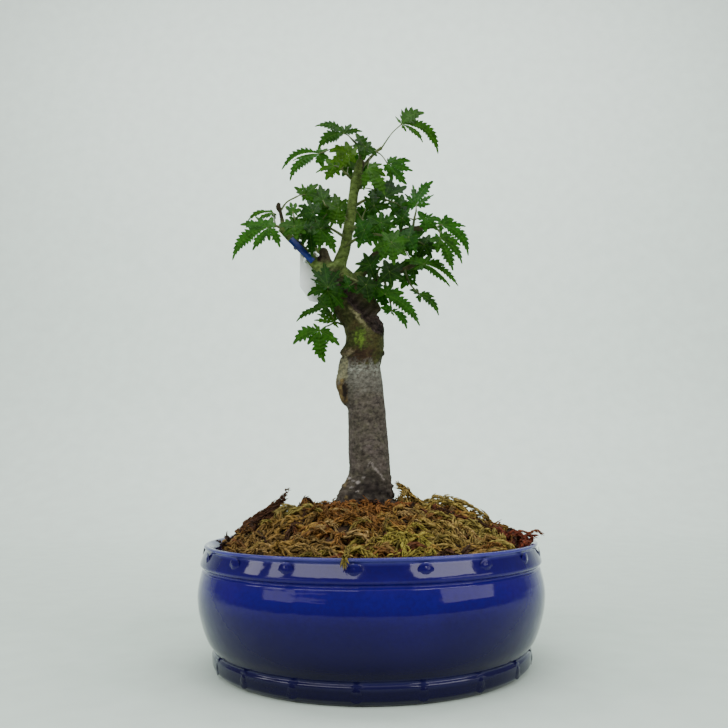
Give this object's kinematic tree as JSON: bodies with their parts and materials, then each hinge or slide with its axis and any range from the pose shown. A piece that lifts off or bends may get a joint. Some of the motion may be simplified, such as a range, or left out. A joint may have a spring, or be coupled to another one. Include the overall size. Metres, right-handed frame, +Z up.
{
  "type": "japanese maple bonsai tree",
  "caption": "Small maple bonsai with cut palmate leaves, a short thick trunk with an old chop wound, and dried moss in a round blue drum pot with studded bands.",
  "frame": {"origin": "centre of the pot's foot ring, on the ground", "axes": "+Z up along the trunk, -Y towards the front, +X to the right seen from the front"},
  "size_m": [0.15, 0.15, 0.2622],
  "materials": {
    "glaze": "gloss",
    "net_plastic": "matte",
    "soil": "matte",
    "moss": "matte",
    "bark": "matte",
    "leaf": "satin",
    "blue_plastic": "satin",
    "pale_plastic": "satin"
  },
  "bodies": {
    "root": {"pot": "glaze", "drain_net": "net_plastic", "soil": "soil", "moss": "moss", "trunk": "bark", "tag_band": "blue_plastic", "tag_plate": "pale_plastic", "spray_top": "leaf", "spray_upper_left": "leaf", "spray_crown_right": "leaf", "spray_inside_right": "leaf", "spray_inside_left": "leaf", "spray_over_stub": "leaf", "spray_left_end": "leaf", "spray_left_high": "leaf", "spray_left": "leaf", "spray_right_upper": "leaf", "spray_right_end": "leaf", "spray_right_middle": "leaf", "spray_front_middle": "leaf", "spray_low_middle": "leaf", "spray_low_right_end": "leaf", "spray_low_right": "leaf", "spray_low_front": "leaf", "spray_front_right": "leaf", "spray_front_left": "leaf", "spray_low_left": "leaf", "spray_back_high": "leaf", "spray_back": "leaf", "spray_back_right": "leaf", "spray_back_left": "leaf"}
  },
  "joints": []
}
